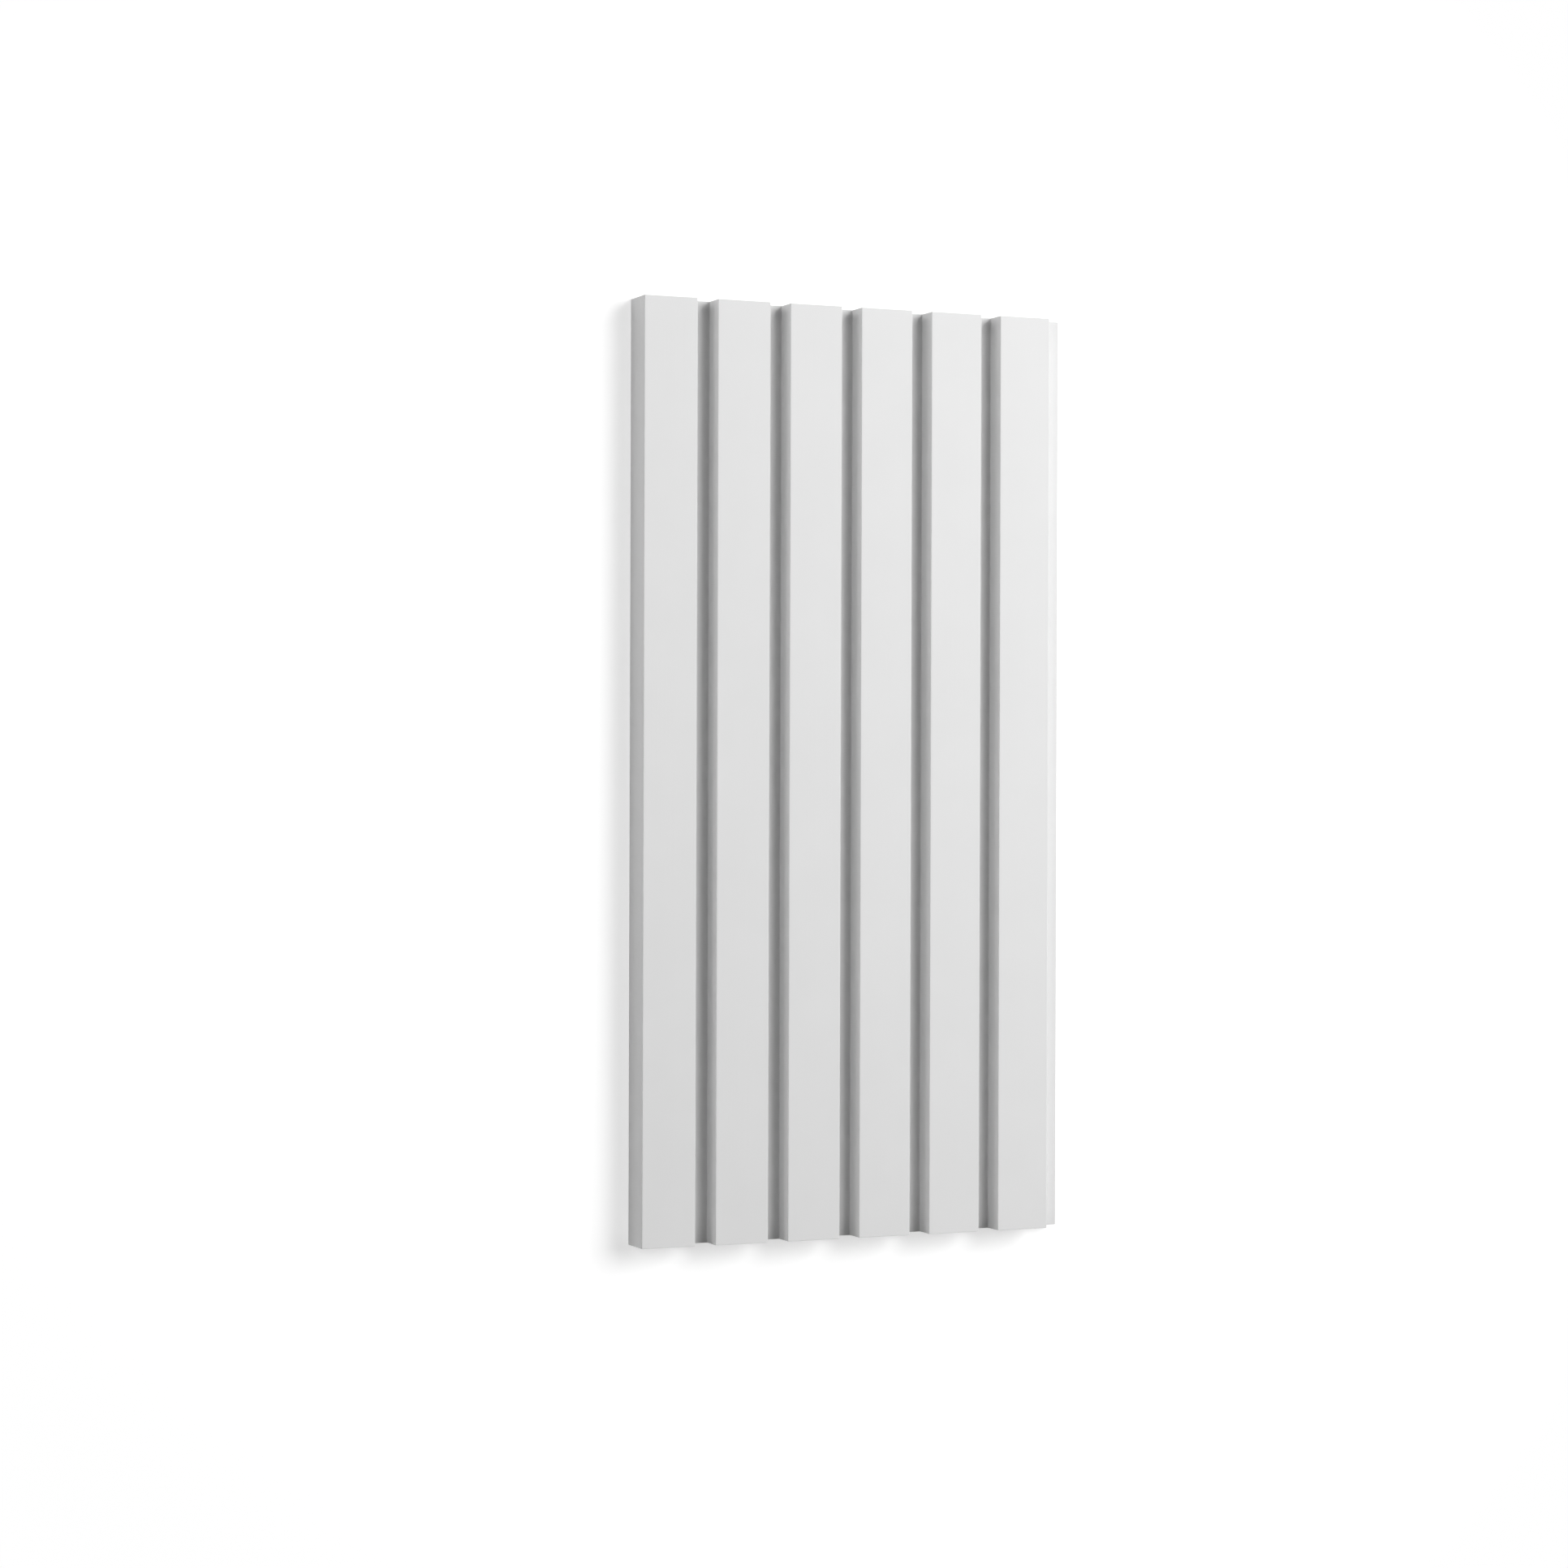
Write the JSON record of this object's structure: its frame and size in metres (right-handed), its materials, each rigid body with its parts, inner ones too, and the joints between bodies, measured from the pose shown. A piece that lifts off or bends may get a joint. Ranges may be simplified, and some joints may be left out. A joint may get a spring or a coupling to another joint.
{
  "type": "slatted wall panel",
  "caption": "Flat-backed wall panel with square-edged raised slats, shadow grooves between them and an open lip along one side where the next panel butts on.",
  "frame": {"origin": "centre of the flat back face, on which the panel lies", "axes": "+X across the slats towards the lip, +Y along the slats, +Z out of the slatted front face"},
  "size_m": [0.25, 0.5, 0.02],
  "materials": {
    "primed_polymer": "matte white primer, ready to paint"
  },
  "bodies": {
    "root": {"slatted_panel": "primed_polymer"}
  },
  "joints": []
}
